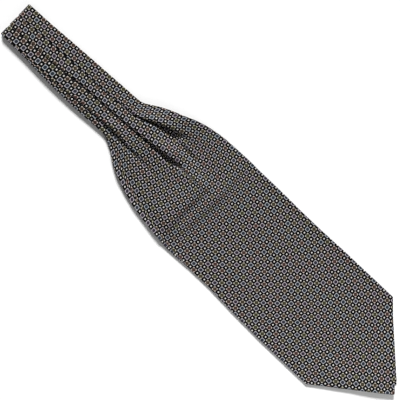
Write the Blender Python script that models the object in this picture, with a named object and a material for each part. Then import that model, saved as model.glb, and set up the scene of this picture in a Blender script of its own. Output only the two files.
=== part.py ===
"""Silk day cravat, folded in half at the back of the neck and laid flat, one blade on the other.

Each half is a wide pointed blade whose cloth is gathered by three knife pleats into a narrow neckband.
Metres, +Z up. The cravat lies along Y with its points towards -Y, and the folded edges of the pleats
face -X. The origin is at the middle of the bounding box, on the surface that the cravat lies on.
"""
from collections import namedtuple
from math import cos, pi, sin

import bpy

# Driving dimensions, in millimetres
MM = 0.001
FOLDED_LENGTH = 611.0     # from the neck fold to the front point
MIDDLE = -0.6             # the middle of the width, on the scale that the tables measure across
WALL = 1.4                # a blade: two plies of silk, turned as a flat tube
GAP = 0.3                 # between two pieces
BAND_STACK = 3.6          # one half's neckband, pleated and pressed
FOLD_RADIUS = BAND_STACK + GAP / 2
BAND_END = 168.0          # where the pleats are tacked and the blade begins
FAN_END = 252.0           # where the back half's pleats have opened flat
EDGE_ROLL = 0.3           # the turned edges stand a little prouder than the cloth between them
EDGE_ROUND = 0.6          # how far in a turned edge reaches its full height
EDGE_LAYERS = (0.25, 0.5, 0.75)   # the lower layer, the groove and the upper layer, as shares of its height
EDGE_GROOVE = 0.55        # between the layers at the neckband's sides
EDGE_GROOVE_FLAT = 0.15   # between the two plies at a blade's sides
TUCK_CLEARANCE = 0.35     # opening under a folded edge that is pressed flat
NOSE_RADIUS = 0.9         # of a pleat's folded edge
NOSE_HEIGHT = 0.55        # its foremost line, as a share of the fold's thickness
POINT_WIDTH = 3.0         # the blunt end of a blade's point

# Places of the sections, measured down from the neck fold
BAND_STATIONS = (12, 36, 63, 78, 92, 107, 122, 134, 150)
FAN_STATIONS = (172, 176, 181, 186, 191, 198, 206, 215, 226, 236, 245, 254, 265, 276)
CREASE_STATIONS = (287, 293.5, 300.5, 307.5, 314)
BLADE_STATIONS = (340, 391, 436, 485)
POINT_STEPS = (0.3, 0.6, 0.85)
TURN_STEPS = 8            # facets round the neck fold

Outline = namedtuple("Outline", "down left right")
FRONT_OUTLINE = (
    Outline(4, -22.3, 25.1),
    Outline(30, -22.7, 25.8),
    Outline(45, -23.3, 26.5),
    Outline(63, -24.3, 27.5),
    Outline(80, -25.0, 28.3),
    Outline(95, -25.3, 29.0),
    Outline(115, -25.3, 29.8),
    Outline(135, -24.8, 30.6),
    Outline(150, -24.2, 31.3),
    Outline(163, -23.8, 31.7),
    Outline(168, -24.5, 32.1),
    Outline(173, -26.7, 33.2),
    Outline(181, -30.6, 37.5),
    Outline(191, -37.9, 43.4),
    Outline(206, -46.7, 50.2),
    Outline(216, -50.7, 53.9),
    Outline(227, -55.0, 58.7),
    Outline(236, -57.4, 61.8),
    Outline(244, -59.8, 64.1),
    Outline(255, -62.0, 66.2),
    Outline(265, -63.7, 67.6),
    Outline(275, -65.2, 68.3),
    Outline(286, -66.7, 68.7),
    Outline(297, -67.9, 69.0),
    Outline(309, -68.9, 69.2),
    Outline(325, -68.5, 68.8),
    Outline(346, -67.6, 68.9),
    Outline(368, -67.6, 68.7),
    Outline(391, -68.6, 68.2),
    Outline(413, -69.8, 68.2),
    Outline(436, -70.5, 68.6),
    Outline(460, -71.2, 69.2),
    Outline(485, -71.2, 69.3),
    Outline(508, -71.2, 69.5),
    Outline(531.75, -71.2, 69.6),
)
BACK_INSET = 0.5          # the back blade's sides hide behind the front ones
BACK_CORNER = Outline(531.75, -71.2, 70.0)

Point = namedtuple("Point", "down across")
FRONT_POINT = Point(611.0, -10.0)
BACK_POINT = Point(605.5, 0.0)
FRONT_CORNER_SLANT = 0.025    # the front corners are not square across the blade

# A pleat's folded edge. Heights are above the half's lowest face; tuck is how deep the opening under the
# edge goes; ease runs from 0, folded flat, to 1, a plain slope in the cloth.
Pleat = namedtuple("Pleat", "down edge crest valley tuck ease")
OUTER_PLEAT = (
    Pleat(4, 7.5, 3.6, 3.0, 2.0, 0.0),
    Pleat(63, 10.5, 3.7, 2.5, 4.0, 0.0),
    Pleat(134, 12.6, 3.9, 2.3, 6.0, 0.0),
    Pleat(162, 16.0, 4.2, 2.2, 7.0, 0.0),
    Pleat(181, 18.4, 6.2, 1.8, 7.0, 0.0),
    Pleat(206, 24.8, 8.4, 1.5, 6.0, 0.1),
    Pleat(226, 30.4, 8.0, 1.4, 3.5, 0.35),
    Pleat(242, 36.0, 5.8, 1.4, 1.0, 0.75),
    Pleat(262, 40.0, 3.0, 1.4, 0.3, 1.0),
    Pleat(287, 43.0, 1.4, 1.4, 0.3, 1.0),
)
MIDDLE_PLEAT = (
    Pleat(4, -7.0, 3.5, 3.0, 1.5, 0.0),
    Pleat(59, -5.6, 3.6, 2.6, 3.0, 0.0),
    Pleat(107, -0.4, 3.8, 2.3, 6.0, 0.0),
    Pleat(156, 1.6, 4.2, 2.2, 7.0, 0.0),
    Pleat(190, 3.0, 6.6, 1.7, 6.5, 0.0),
    Pleat(217, 4.0, 7.8, 1.5, 5.0, 0.15),
    Pleat(237, 7.0, 7.2, 1.4, 2.5, 0.5),
    Pleat(252, 9.4, 5.0, 1.4, 0.5, 0.85),
    Pleat(272, 12.0, 2.4, 1.4, 0.3, 1.0),
    Pleat(287, 13.0, 1.4, 1.4, 0.3, 1.0),
)
INNER_PLEAT = (
    Pleat(4, -20.4, 3.4, 3.0, 1.0, 0.0),
    Pleat(92, -19.4, 3.5, 2.6, 2.5, 0.0),
    Pleat(124, -14.2, 3.8, 2.3, 5.0, 0.0),
    Pleat(164, -12.6, 4.6, 2.0, 5.0, 0.0),
    Pleat(176, -14.6, 5.4, 1.6, 4.5, 0.05),
    Pleat(190, -16.0, 5.6, 1.5, 3.5, 0.3),
    Pleat(206, -17.2, 4.2, 1.4, 1.5, 0.7),
    Pleat(226, -18.6, 2.4, 1.4, 0.3, 1.0),
    Pleat(254, -20.0, 1.4, 1.4, 0.3, 1.0),
)
PLEATS = (INNER_PLEAT, MIDDLE_PLEAT, OUTER_PLEAT)
FLAT_PLEAT_SPREAD = 7.0   # half the width of the slope that a fully eased pleat becomes
PLEAT_OFFSETS = (-1, -0.5, 0, 0.5, 1)
STRIP_SPANS = (0.25, 0.5, 0.75)   # sections of the strip between two folded edges
UNDER_SPANS = (1.0, 0.66, 0.33, 0.0)   # from a strip's far end back to the inside of its folded edge
UNDER_REACH = 0.6         # the hollow under a strip starts before this share of its width
HOLLOW_LEAD = 2.0         # the cloth lifts off the half below it from just before the tacks
HOLLOW_RUN = 24.0

# The pressed crease across the blade, a low ridge with a dip on each side
Crease = namedtuple("Crease", "down height slant")
CREASE = (
    Crease(276, 0.0, 0.0),
    Crease(293.5, -0.35, 0.09),
    Crease(300.5, 0.7, 0.09),
    Crease(307.5, -0.3, 0.09),
    Crease(314, 0.0, 0.06),
    Crease(340, 0.0, 0.0),
)

# Pressed slits between the back half's pleats, on its flat underside
SLIT_RISE = 0.75          # at its mouth
SLIT_INNER_RISE = 0.82
SLIT_TUCK = 5.0
SLIT_FADE = (200.0, 245.0)
SLIT_RUN_IN = 2.5

SILK_COLOUR = (0.13, 0.125, 0.13, 1.0)
SILK_ROUGHNESS = 0.5


def clear_scene():
    for thing in list(bpy.data.objects):
        bpy.data.objects.remove(thing, do_unlink=True)


def smooth_step(value, low, high):
    share = min(max((value - low) / (high - low), 0.0), 1.0)
    return share * share * (3 - 2 * share)


def blend(low, high, share):
    return low + (high - low) * share


def smooth_value(rows, column, down):
    """A column's value at a place down the cravat, on a curve through the rows that never overshoots."""
    places = [row.down for row in rows]
    values = [getattr(row, column) for row in rows]
    if down <= places[0]:
        return values[0]
    if down >= places[-1]:
        return values[-1]
    steps = [(values[i + 1] - values[i]) / (places[i + 1] - places[i]) for i in range(len(rows) - 1)]
    slopes = [steps[0]]
    for before, after in zip(steps, steps[1:]):
        slopes.append(2 * before * after / (before + after) if before * after > 0 else 0.0)
    slopes.append(steps[-1])
    here = max(i for i in range(len(rows) - 1) if places[i] <= down)
    run = places[here + 1] - places[here]
    share = (down - places[here]) / run
    rest = 1 - share
    return (values[here] * (1 + 2 * share) * rest ** 2 + values[here + 1] * (3 - 2 * share) * share ** 2
            + run * share * rest * (slopes[here] * rest - slopes[here + 1] * share))


def row_at(rows, down):
    """A whole table row at a place down the cravat."""
    return type(rows[0])(*[down if column == "down" else smooth_value(rows, column, down)
                           for column in rows[0]._fields])


def back_top(down):
    """Height of the back half's upper face, thick at the neckband and thin at the blade."""
    return blend(BAND_STACK, WALL, smooth_step(down, BAND_END, FAN_END))


def place(across, down, height, slant=0.0):
    return ((across - MIDDLE) * MM, (FOLDED_LENGTH / 2 - down - slant * across) * MM, height * MM)


def strip_height(start, end, share):
    """A strip of cloth stays up near its folded edge and then falls to where the next edge covers it."""
    return end + (start - end) * cos(share * pi / 2)


def side_points(edge, inward, thick, pressed):
    """A turned edge, from low to high, with the groove between its layers; inward is 1 or -1."""
    groove = blend(EDGE_GROOVE_FLAT, EDGE_GROOVE, pressed)
    insets = (0.0, groove, 0.0)
    layers = [(edge + inward * inset, thick * share) for inset, share in zip(insets, EDGE_LAYERS)]
    return layers + [(edge + inward * EDGE_ROUND, thick)]


def pleat_points(pleat):
    """A folded edge seen in section: down into the opening under it, back out and round the edge."""
    underside = max(pleat.valley + TUCK_CLEARANCE, pleat.crest - 2 * WALL)
    folded = (
        (pleat.edge - NOSE_RADIUS / 2, pleat.valley),
        (pleat.edge + pleat.tuck, pleat.valley + TUCK_CLEARANCE / 3),
        (pleat.edge + NOSE_RADIUS / 2, underside),
        (pleat.edge, blend(underside, pleat.crest, NOSE_HEIGHT)),
        (pleat.edge + NOSE_RADIUS, pleat.crest),
    )
    eased = [(pleat.edge + FLAT_PLEAT_SPREAD * offset,
              blend(pleat.valley, pleat.crest, smooth_step(offset, -1, 1))) for offset in PLEAT_OFFSETS]
    return [(blend(flat[0], open_[0], pleat.ease), blend(flat[1], open_[1], pleat.ease))
            for flat, open_ in zip(folded, eased)]


def front_section(outline, pleats, relief, hollow):
    """One closed section of the front half, from its left edge over the top and back underneath."""
    left, right = outline.left, outline.right
    thick = blend(BAND_STACK, WALL + EDGE_ROLL, hollow)
    top = side_points(left, 1, thick, 1 - hollow)
    start = top[-1]
    strips = []
    for pleat in pleats:
        folded = pleat_points(pleat)
        strips.append((start, folded[0]))
        top += [(blend(start[0], folded[0][0], share), strip_height(start[1], folded[0][1], share))
                for share in STRIP_SPANS]
        top += folded
        start = folded[-1]
    right_side = side_points(right, -1, thick, 1 - hollow)[::-1]
    end = right_side[0]
    strips.append((start, end))
    top += [(blend(start[0], end[0], share), strip_height(start[1], end[1], share))
            for share in STRIP_SPANS]
    top += right_side
    top = [(across, height + relief) for across, height in top]

    bottom = []
    covers = [0.0] + [pleat.tuck * (1 - pleat.ease) + 2 * WALL for pleat in pleats]
    for (start, end), cover in reversed(list(zip(strips, covers))):
        inner = min(start[0] + cover, blend(start[0], end[0], UNDER_REACH))
        for share in UNDER_SPANS:
            across = blend(inner, end[0], share)
            under = strip_height(start[1], end[1], (across - start[0]) / (end[0] - start[0])) - WALL
            lifted = hollow * max(under, 0.0) if 0 < share < 1 else 0.0
            bottom.append((across, lifted))
    return top + bottom


def back_section(outline, thick, fade):
    """One closed section of the back half: a flat underside with a pressed slit at each pleat."""
    left, right = outline.left, outline.right
    underside = [(left + EDGE_ROUND, 0.0)]
    for rows in PLEATS:
        edge = smooth_value(rows, "edge", outline.down)
        run_in = min(SLIT_RUN_IN, (edge - underside[-1][0]) / 2)
        pressed = ((-run_in, 0.0), (0.0, SLIT_RISE), (SLIT_TUCK, SLIT_INNER_RISE),
                   (NOSE_RADIUS / 2, SLIT_RISE / 2), (NOSE_RADIUS, 0.0))
        underside += [(edge + blend(across, FLAT_PLEAT_SPREAD * offset, fade), height * (1 - fade))
                      for (across, height), offset in zip(pressed, PLEAT_OFFSETS)]
    underside.append((right - EDGE_ROUND, 0.0))
    left_side = side_points(left, 1, thick, 1 - fade)
    right_side = side_points(right, -1, thick, 1 - fade)[::-1]
    return left_side + right_side + underside[::-1]


def loft(name, rings, material):
    """One closed solid through rings that all have the same number of points."""
    count = len(rings[0])
    points = [point for ring in rings for point in ring]
    faces = []
    for row in range(len(rings) - 1):
        for column in range(count):
            after = (column + 1) % count
            faces.append((row * count + column, (row + 1) * count + column,
                          (row + 1) * count + after, row * count + after))
    faces.append(tuple(range(count)))
    faces.append(tuple(reversed(range((len(rings) - 1) * count, len(rings) * count))))
    mesh = bpy.data.meshes.new(name)
    mesh.from_pydata(points, [], faces)
    mesh.materials.append(material)
    mesh.update()
    solid = bpy.data.objects.new(name, mesh)
    bpy.context.collection.objects.link(solid)
    return solid


def silk(name):
    material = bpy.data.materials.new(name)
    material.use_nodes = True
    shader = material.node_tree.nodes["Principled BSDF"]
    shader.inputs["Base Color"].default_value = SILK_COLOUR
    shader.inputs["Roughness"].default_value = SILK_ROUGHNESS
    shader.inputs["Metallic"].default_value = 0.0
    return material


def front_ring(down):
    crease = row_at(CREASE, down)
    hollow = smooth_step(down, BAND_END - HOLLOW_LEAD, BAND_END + HOLLOW_RUN)
    section = front_section(row_at(FRONT_OUTLINE, down), [row_at(rows, down) for rows in PLEATS],
                            crease.height, hollow)
    base = back_top(down) + GAP
    return [place(across, down, base + height, crease.slant) for across, height in section]


def back_ring(down):
    front = row_at(FRONT_OUTLINE, down)
    inset = BACK_INSET if down > BAND_END else 0.0
    outline = front._replace(left=front.left + inset, right=front.right - inset)
    section = back_section(outline, back_top(down), smooth_step(down, *SLIT_FADE))
    return [place(across, down, height) for across, height in section]


def point_rings(section, corner, point, base, corner_slant):
    """Rings of a blade's point: the section at its corners, narrowed step by step to its blunt end."""
    rings = []
    for step in (0.0,) + POINT_STEPS + (1.0,):
        left = blend(corner.left, point.across - POINT_WIDTH / 2, step)
        right = blend(corner.right, point.across + POINT_WIDTH / 2, step)
        narrowing = (right - left) / (corner.right - corner.left)
        down = blend(corner.down, point.down, step)
        slant = corner_slant * (1 - step)
        rings.append([place(left + (across - corner.left) * narrowing, down, base + height, slant)
                      for across, height in section])
    return rings


def neck_fold_rings():
    """The turn at the centre back: a half round whose ends show the layers of the pleated cloth."""
    outline = FRONT_OUTLINE[0]
    middle = (GAP / 2 + FOLD_RADIUS) / 2
    side = ((EDGE_GROOVE, GAP / 2), (0.0, NOSE_RADIUS), (0.0, middle - TUCK_CLEARANCE), (EDGE_GROOVE, middle),
            (0.0, middle + TUCK_CLEARANCE), (0.0, FOLD_RADIUS - EDGE_ROUND), (EDGE_ROUND, FOLD_RADIUS))
    profile = [(outline.left + inset, radius) for inset, radius in side]
    profile += [(outline.right - inset, radius) for inset, radius in reversed(side)]
    rings = []
    for step in range(TURN_STEPS + 1):
        angle = pi * step / TURN_STEPS
        rings.append([place(across, FOLD_RADIUS - radius * sin(angle), FOLD_RADIUS - radius * cos(angle))
                      for across, radius in profile])
    return rings


def build():
    clear_scene()
    band = (FOLD_RADIUS + GAP,) + BAND_STATIONS + (BAND_END - GAP / 2,)
    blade = (BAND_END + GAP / 2,) + FAN_STATIONS + CREASE_STATIONS + BLADE_STATIONS
    front_corner = FRONT_OUTLINE[-1]
    flat_pleats = [row_at(rows, front_corner.down) for rows in PLEATS]
    front_point = point_rings(front_section(front_corner, flat_pleats, 0.0, 1.0), front_corner, FRONT_POINT,
                              WALL + GAP, FRONT_CORNER_SLANT)
    back_point = point_rings(back_section(BACK_CORNER, WALL, 1.0), BACK_CORNER, BACK_POINT, 0.0, 0.0)

    loft("front_blade", [front_ring(down) for down in blade] + front_point, silk("front_blade_silk"))
    loft("front_neckband", [front_ring(down) for down in band], silk("front_neckband_silk"))
    loft("neck_fold", neck_fold_rings(), silk("neck_fold_silk"))
    loft("back_neckband", [back_ring(down) for down in band], silk("back_neckband_silk"))
    loft("back_blade", [back_ring(down) for down in blade] + back_point, silk("back_blade_silk"))


build()
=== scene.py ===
from collections import namedtuple
from math import cos, pi, radians, sin

import bpy
import numpy as np
from mathutils import Matrix, Vector


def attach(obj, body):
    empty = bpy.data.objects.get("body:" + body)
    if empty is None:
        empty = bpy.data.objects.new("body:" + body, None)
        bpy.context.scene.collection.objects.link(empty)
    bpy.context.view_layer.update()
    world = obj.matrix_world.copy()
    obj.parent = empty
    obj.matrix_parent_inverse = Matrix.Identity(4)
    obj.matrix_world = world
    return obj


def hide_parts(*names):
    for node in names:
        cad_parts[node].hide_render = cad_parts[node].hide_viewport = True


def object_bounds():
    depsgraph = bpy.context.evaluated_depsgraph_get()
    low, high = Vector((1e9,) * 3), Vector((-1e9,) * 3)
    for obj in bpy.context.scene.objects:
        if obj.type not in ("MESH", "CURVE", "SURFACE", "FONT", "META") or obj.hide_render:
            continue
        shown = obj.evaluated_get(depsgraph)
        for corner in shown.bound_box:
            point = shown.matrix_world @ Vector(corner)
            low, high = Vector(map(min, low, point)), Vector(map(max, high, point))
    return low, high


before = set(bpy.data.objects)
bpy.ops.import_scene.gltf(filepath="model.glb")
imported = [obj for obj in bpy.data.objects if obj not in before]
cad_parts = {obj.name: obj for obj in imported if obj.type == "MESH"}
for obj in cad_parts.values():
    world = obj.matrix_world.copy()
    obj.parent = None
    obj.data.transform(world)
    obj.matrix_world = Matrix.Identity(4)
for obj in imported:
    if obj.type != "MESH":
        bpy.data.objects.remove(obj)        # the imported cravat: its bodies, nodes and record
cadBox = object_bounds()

mm = 0.001
middleAcross = -0.6      # the middle of the width, on the scale that the tables measure across
topOfCravat = cadBox[1].y / mm          # the neck fold; "down" is measured from it along the cravat

# Rows of the tables below. Everything is in millimetres: down from the neck fold, across from the middle
outlineRow = namedtuple("outlineRow", "down left right")
pleatRow = namedtuple("pleatRow", "down edge crest shoulder gape floor tuck ease")
printRow = namedtuple("printRow", "down under over")
driftRow = namedtuple("driftRow", "down left")
pullRow = namedtuple("pullRow", "down left innerLeft middle innerRight outerRight right")
tuckRow = namedtuple("tuckRow", "down across hidden ahead softness")
creaseRow = namedtuple("creaseRow", "down left innerLeft middle innerRight right")
wrinkleRow = namedtuple("wrinkleRow", "fromDown fromAcross toDown toAcross height width")

cravatShape = {
    "outline": (
        outlineRow(4, -22.3, 25.1),
        outlineRow(30, -22.7, 25.8),
        outlineRow(45, -23.3, 26.5),
        outlineRow(63, -24.3, 27.5),
        outlineRow(80, -25.0, 28.3),
        outlineRow(95, -25.3, 29.0),
        outlineRow(115, -25.3, 29.8),
        outlineRow(135, -24.8, 30.6),
        outlineRow(150, -24.2, 31.3),
        outlineRow(163, -23.8, 31.7),
        outlineRow(168, -24.5, 32.1),
        outlineRow(173, -26.7, 33.2),
        outlineRow(181, -30.6, 37.5),
        outlineRow(191, -37.9, 43.4),
        outlineRow(206, -46.7, 50.2),
        outlineRow(216, -50.7, 53.9),
        outlineRow(227, -55.0, 58.7),
        outlineRow(236, -57.4, 61.8),
        outlineRow(244, -59.8, 64.1),
        outlineRow(255, -62.0, 66.2),
        outlineRow(265, -63.7, 67.6),
        outlineRow(275, -65.2, 68.3),
        outlineRow(286, -66.7, 68.7),
        outlineRow(297, -67.9, 69.0),
        outlineRow(309, -68.9, 69.2),
        outlineRow(325, -68.5, 68.8),
        outlineRow(346, -67.6, 68.9),
        outlineRow(368, -67.6, 68.7),
        outlineRow(391, -68.6, 68.2),
        outlineRow(413, -69.8, 68.2),
        outlineRow(436, -70.5, 68.6),
        outlineRow(460, -71.2, 69.2),
        outlineRow(485, -71.2, 69.3),
        outlineRow(508, -71.2, 69.5),
        outlineRow(531.75, -71.2, 69.6),
    ),
    "bandStack": 3.6,           # one half's neckband, pleated and pressed
    "bladeStack": 1.4,          # one half's blade
    "bandEnd": 168.0,           # where the pleats are tacked
    "fanEnd": 252.0,            # where the lower half's pleats are open
    "gap": 0.3,                 # between the two halves
    "bandCloth": 0.48,          # thickness of the silk tube where it is pressed
    "bladeCloth": 1.15,         # and where it lies loose
    "loosensFrom": 174.0,       # just past the tacks
    "edgeBead": 0.22,           # a turned edge is this much thicker
    "edgeBeadWidth": 1.8,
    "pointWidth": 1.6,
    "pointTaper": 1.2,          # over the last stretch the two walls close
    "pointClosed": 0.2,         # to this share of the thickness
    "firstRow": 4.0,            # the tables start here; above it the cloth turns over at the neck
    "slantFrom": 430.0,         # the blade's corners start to slant here
    "pleatBounds": (-69.0, 69.4),           # in the point, the pleats keep their shares of this width
    "fullWidth": 130.0,         # and their folds shrink once the width is below this
    "narrowest": 0.02,          # but never to less than this share
    "roomShare": 0.1,           # of the width, kept free of pleats at each turned edge
    "roomRange": (0.05, 1.0),
    "rightHold": (-0.3, 0.5),   # the last strip falls to the right edge ever later on its way across
    "rightHoldSpan": (250, 340),
}

foldShape = {                   # the section across one pressed pleat
    "clearance": 0.05,          # what goes under lies this far above the layer below
    "bedClearance": 0.02,       # and the bed of the hollow at least this far above that
    "bendLeast": 0.06,          # least radius of a bend, over half of the cloth's thickness
    "noseShare": 0.18,          # of the height from the bed to the fold
    "innerShare": 0.22,         # of the height under the fold
    "before": 0.8,              # the fall into the hollow starts this far before it
    "after": 2.6,               # the top is flat this far past its bend
    "openAfter": 2.0,           # an open pleat's hollow ends here, and further on where it is wide
    "openShare": 0.45,
    "bedPlace": 0.4,            # share of the way across it at which an open hollow is deepest
    "underPoint": 2,            # the control point at which the lower layer goes out of sight
    "foldPoint": 8,             # and the one on the folded edge
}

frontHalf = {
    "name": "frontHalf",
    "replaces": ("front_blade", "front_neckband", "neck_fold"),
    "point": (611.0, -10.0),
    "cornerSlant": 0.025,
    "sideInset": 0.0,           # how far its sides lie inside the outline
    "pleatLead": 0.0,           # how far its pleats are ahead of the tables
    "leadSpan": (172, 205),     # the lead grows over this stretch
    "stripHold": 0.0,           # between two pleats the cloth stays level over this share of the way
    "pleats": (
        (   # inner pleat
            pleatRow(4, -20.8, 2.8, 2.45, 0.6, 2.15, 5.0, 0.0),
            pleatRow(60, -20.6, 2.9, 2.45, 0.8, 2.0, 5.0, 0.0),
            pleatRow(92, -19.0, 3.2, 2.35, 1.5, 1.6, 6.0, 0.0),
            pleatRow(124, -16.0, 3.6, 2.2, 2.6, 1.3, 7.0, 0.0),
            pleatRow(150, -14.4, 4.2, 2.1, 4.4, 1.1, 7.0, 0.0),
            pleatRow(162, -13.4, 6.3, 1.75, 7.4, 0.7, 7.0, 0.0),
            pleatRow(169, -13.2, 6.8, 1.85, 7.4, 0.7, 7.0, 0.0),
            pleatRow(180, -13.8, 5.6, 2.3, 5.6, 0.85, 6.0, 0.0),
            pleatRow(190, -14.8, 5.0, 2.8, 5.0, 1.0, 5.0, 0.1),
            pleatRow(203, -15.6, 4.3, 3.0, 4.5, 1.3, 3.0, 0.45),
            pleatRow(215, -16.2, 3.8, 3.0, 5.0, 1.6, 1.0, 0.85),
            pleatRow(232, -16.2, 2.8, 2.4, 5.0, 1.6, 0.3, 1.0),
            pleatRow(254, -16.8, 1.9, 1.7, 5.0, 1.3, 0.3, 1.0),
            pleatRow(280, -17.0, 1.3, 1.25, 5.0, 1.2, 0.3, 1.0),
        ),
        (   # middle pleat
            pleatRow(4, -7.0, 2.9, 2.7, 0.8, 1.1, 5.0, 0.0),
            pleatRow(59, -5.5, 3.3, 3.0, 1.5, 1.0, 7.0, 0.0),
            pleatRow(84, -3.2, 3.9, 3.2, 2.4, 0.8, 8.0, 0.0),
            pleatRow(107, -0.5, 4.2, 3.4, 2.4, 0.8, 8.0, 0.0),
            pleatRow(156, 1.5, 4.9, 3.9, 2.4, 0.8, 8.0, 0.0),
            pleatRow(175, 2.6, 5.6, 3.8, 2.0, 1.0, 8.0, 0.0),
            pleatRow(200, 4.4, 7.0, 4.2, 2.2, 1.2, 7.0, 0.0),
            pleatRow(212, 5.7, 8.0, 4.4, 3.0, 0.9, 6.0, 0.0),
            pleatRow(222, 6.9, 9.4, 4.4, 4.2, 0.6, 5.4, 0.0),
            pleatRow(232, 8.0, 10.0, 4.2, 5.4, 0.6, 4.5, 0.0),
            pleatRow(240, 8.6, 9.4, 4.0, 6.0, 0.8, 3.0, 0.1),
            pleatRow(246, 9.0, 7.8, 3.9, 5.8, 1.4, 2.0, 0.35),
            pleatRow(251, 9.2, 6.2, 3.9, 4.6, 2.2, 1.0, 0.7),
            pleatRow(257, 9.1, 5.0, 3.9, 3.0, 3.0, 0.5, 0.95),
            pleatRow(263, 8.6, 4.4, 3.7, 2.0, 3.2, 0.3, 1.0),
            pleatRow(272, 8.4, 3.9, 3.4, 1.8, 3.0, 0.3, 1.0),
            pleatRow(282, 8.3, 3.2, 2.9, 1.8, 2.6, 0.3, 1.0),
            pleatRow(292, 9.0, 2.5, 2.3, 2.0, 2.1, 0.3, 1.0),
            pleatRow(308, 10.0, 1.5, 1.4, 3.0, 1.3, 0.3, 1.0),
            pleatRow(320, 10.0, 1.25, 1.25, 3.0, 1.25, 0.3, 1.0),
        ),
        (   # outer pleat
            pleatRow(4, 7.5, 3.0, 2.8, 0.7, 1.2, 5.0, 0.0),
            pleatRow(63, 10.5, 3.3, 3.1, 0.9, 1.2, 7.0, 0.0),
            pleatRow(134, 12.4, 3.7, 3.6, 1.1, 1.2, 8.0, 0.0),
            pleatRow(162, 15.2, 4.3, 4.0, 1.3, 1.2, 8.0, 0.0),
            pleatRow(175, 16.0, 5.3, 4.6, 1.6, 1.0, 8.0, 0.0),
            pleatRow(185, 19.6, 6.6, 5.2, 2.4, 0.9, 8.0, 0.0),
            pleatRow(200, 26.8, 9.2, 6.0, 5.4, 0.6, 7.0, 0.0),
            pleatRow(210, 30.3, 9.9, 6.4, 7.4, 0.5, 6.0, 0.0),
            pleatRow(218, 32.8, 8.9, 6.1, 8.0, 0.6, 4.5, 0.05),
            pleatRow(224, 34.6, 7.3, 5.7, 8.4, 0.9, 3.0, 0.3),
            pleatRow(230, 36.4, 5.9, 5.1, 8.6, 1.7, 1.5, 0.7),
            pleatRow(237, 38.2, 5.0, 4.5, 9.0, 2.7, 0.5, 0.93),
            pleatRow(242, 39.2, 4.4, 4.0, 10.0, 3.0, 0.4, 1.0),
            pleatRow(262, 41.0, 3.0, 3.0, 12.0, 2.4, 0.3, 1.0),
            pleatRow(287, 42.2, 1.8, 1.9, 13.0, 1.6, 0.3, 1.0),
            pleatRow(308, 42.2, 1.3, 1.25, 13.0, 1.25, 0.3, 1.0),
        ),
    ),
    "sideHeights": (            # top of the cloth at each turned edge
        outlineRow(4, 2.35, 2.6),
        outlineRow(70, 2.2, 2.85),
        outlineRow(110, 1.6, 3.0),
        outlineRow(150, 0.65, 3.2),
        outlineRow(176, 0.7, 4.4),
        outlineRow(192, 1.3, 6.0),
        outlineRow(208, 1.3, 7.4),
        outlineRow(222, 1.3, 6.8),
        outlineRow(245, 1.3, 4.0),
        outlineRow(270, 1.3, 2.2),
        outlineRow(300, 1.3, 1.5),
        outlineRow(350, 1.3, 2.3),
        outlineRow(500, 1.3, 2.4),
        outlineRow(540, 1.3, 1.4),
    ),
}

backHalf = {
    "name": "backHalf",
    "replaces": ("back_neckband", "back_blade"),
    "point": (605.5, 0.0),
    "cornerSlant": 0.0,
    "sideInset": 0.5,
    "pleatLead": 27.0,          # face down, its pleats lie open sooner than the front half's
    "leadSpan": (172, 205),
    "stripHold": 0.55,
    "pleats": frontHalf["pleats"],
    "foldStep": 1.15,           # a pressed folded edge stands this far off the cloth under it
    "shoulderShare": 0.6,       # of that step, from the fold down to the cloth beside it
    "gape": 1.0,
}

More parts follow.
